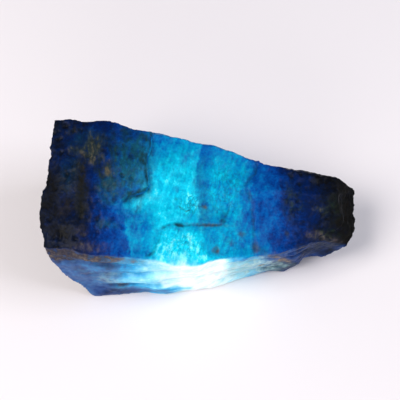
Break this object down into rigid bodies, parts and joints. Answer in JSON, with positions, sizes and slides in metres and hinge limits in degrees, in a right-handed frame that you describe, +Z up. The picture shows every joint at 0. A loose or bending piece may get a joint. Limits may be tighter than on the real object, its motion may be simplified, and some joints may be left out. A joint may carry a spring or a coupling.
{
  "type": "rough sapphire chunk",
  "caption": "Rough, unpolished chunk of translucent blue corundum: a tapering prism with a broken crown and layered front, flat enough below to rest.",
  "frame": {"origin": "middle of the stone's bounding box in plan, at the level of the flat parting face that it rests on", "axes": "+X along the stone from its blunt end to its tip, +Y from its layered front face to its back, +Z up, away from the resting face"},
  "size_m": [0.0602, 0.0282, 0.0226],
  "materials": {
    "sapphire_rough": "natural broken corundum, translucent, from pale ice blue and cyan through royal blue to navy, with brown iron-stained skin; dull waxy gloss"
  },
  "bodies": {
    "root": {"sapphire_chunk": "sapphire_rough"}
  },
  "joints": []
}
